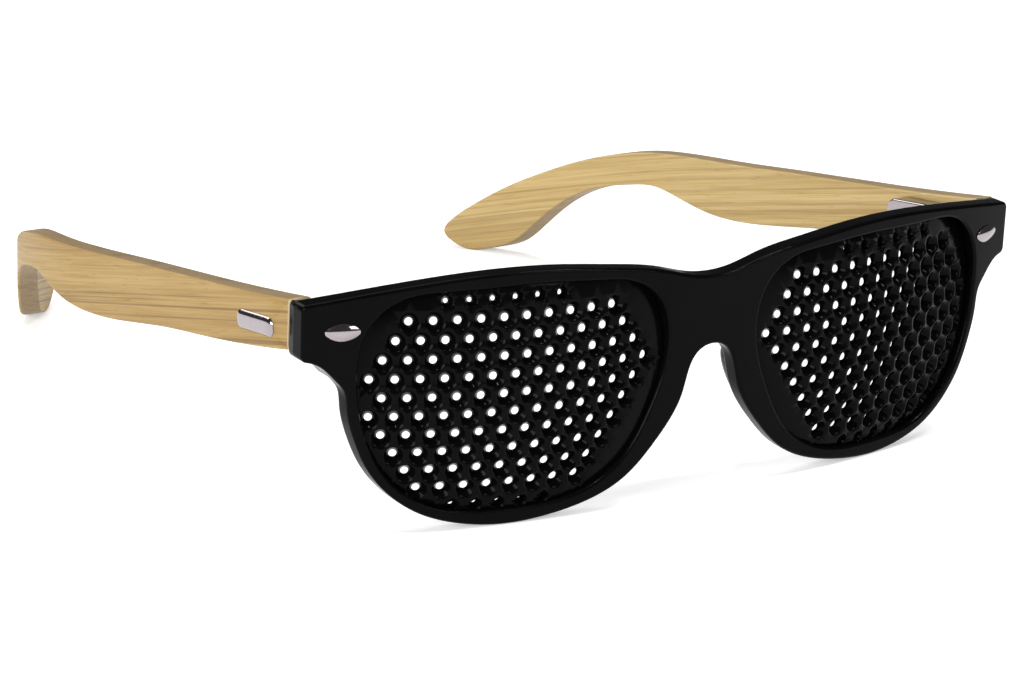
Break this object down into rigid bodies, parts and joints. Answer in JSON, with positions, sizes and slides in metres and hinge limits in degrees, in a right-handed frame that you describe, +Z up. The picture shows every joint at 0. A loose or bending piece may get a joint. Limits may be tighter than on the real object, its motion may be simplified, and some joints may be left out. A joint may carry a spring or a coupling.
{
  "type": "pinhole glasses",
  "caption": "Pinhole glasses: black moulded front with perforated lenses, bamboo temples on spring hinges, almond studs and blank plaques.",
  "frame": {"origin": "on the surface that the open glasses stand on, below the middle of the overall box", "axes": "+X to the wearer's left, +Y back along the temples from the lenses to the ears, +Z up"},
  "size_m": [0.1464, 0.1642, 0.0437],
  "materials": {
    "front_plastic": "polished black moulding",
    "lens_plastic": "smooth black moulding, slightly softer shine than the front",
    "bamboo": "fine straight grain under a thin satin varnish",
    "chrome": "bright plating",
    "hinge_steel": "plain steel"
  },
  "bodies": {
    "front": {"frame_front": "front_plastic", "left_pinhole_lens": "lens_plastic", "left_front_stud": "chrome", "left_hinge_leaf": "hinge_steel", "left_hinge_screw": "hinge_steel", "right_pinhole_lens": "lens_plastic", "right_front_stud": "chrome", "right_hinge_leaf": "hinge_steel", "right_hinge_screw": "hinge_steel"},
    "left_tongue_body": {"left_spring_tongue": "hinge_steel", "left_spring_nut": "hinge_steel"},
    "left_arm": {"left_temple": "bamboo", "left_temple_plaque": "chrome", "left_spring_box": "chrome", "left_spring_collar": "hinge_steel", "left_flex_spring": "hinge_steel"},
    "right_tongue_body": {"right_spring_tongue": "hinge_steel", "right_spring_nut": "hinge_steel"},
    "right_arm": {"right_temple": "bamboo", "right_temple_plaque": "chrome", "right_spring_box": "chrome", "right_spring_collar": "hinge_steel", "right_flex_spring": "hinge_steel"}
  },
  "joints": [
    {"name": "left_fold", "type": "hinge", "parent": "front", "child": "left_tongue_body", "pos_m": [0.0669, -0.06367, 0.036], "axis": [0, -0.0401, 0.9992], "range_deg": [0, 87]},
    {"name": "left_flex", "type": "slide", "parent": "left_tongue_body", "child": "left_arm", "axis": [0, 0.9951, -0.0994], "range_m": [0, 0.0012], "stiffness_N_per_m": 3000, "springref_m": -0.001},
    {"name": "right_fold", "type": "hinge", "parent": "front", "child": "right_tongue_body", "pos_m": [-0.0669, -0.06367, 0.036], "axis": [0, 0.0401, -0.9992], "range_deg": [0, 76]},
    {"name": "right_flex", "type": "slide", "parent": "right_tongue_body", "child": "right_arm", "axis": [0, 0.9951, -0.0994], "range_m": [0, 0.0012], "stiffness_N_per_m": 3000, "springref_m": -0.001}
  ]
}
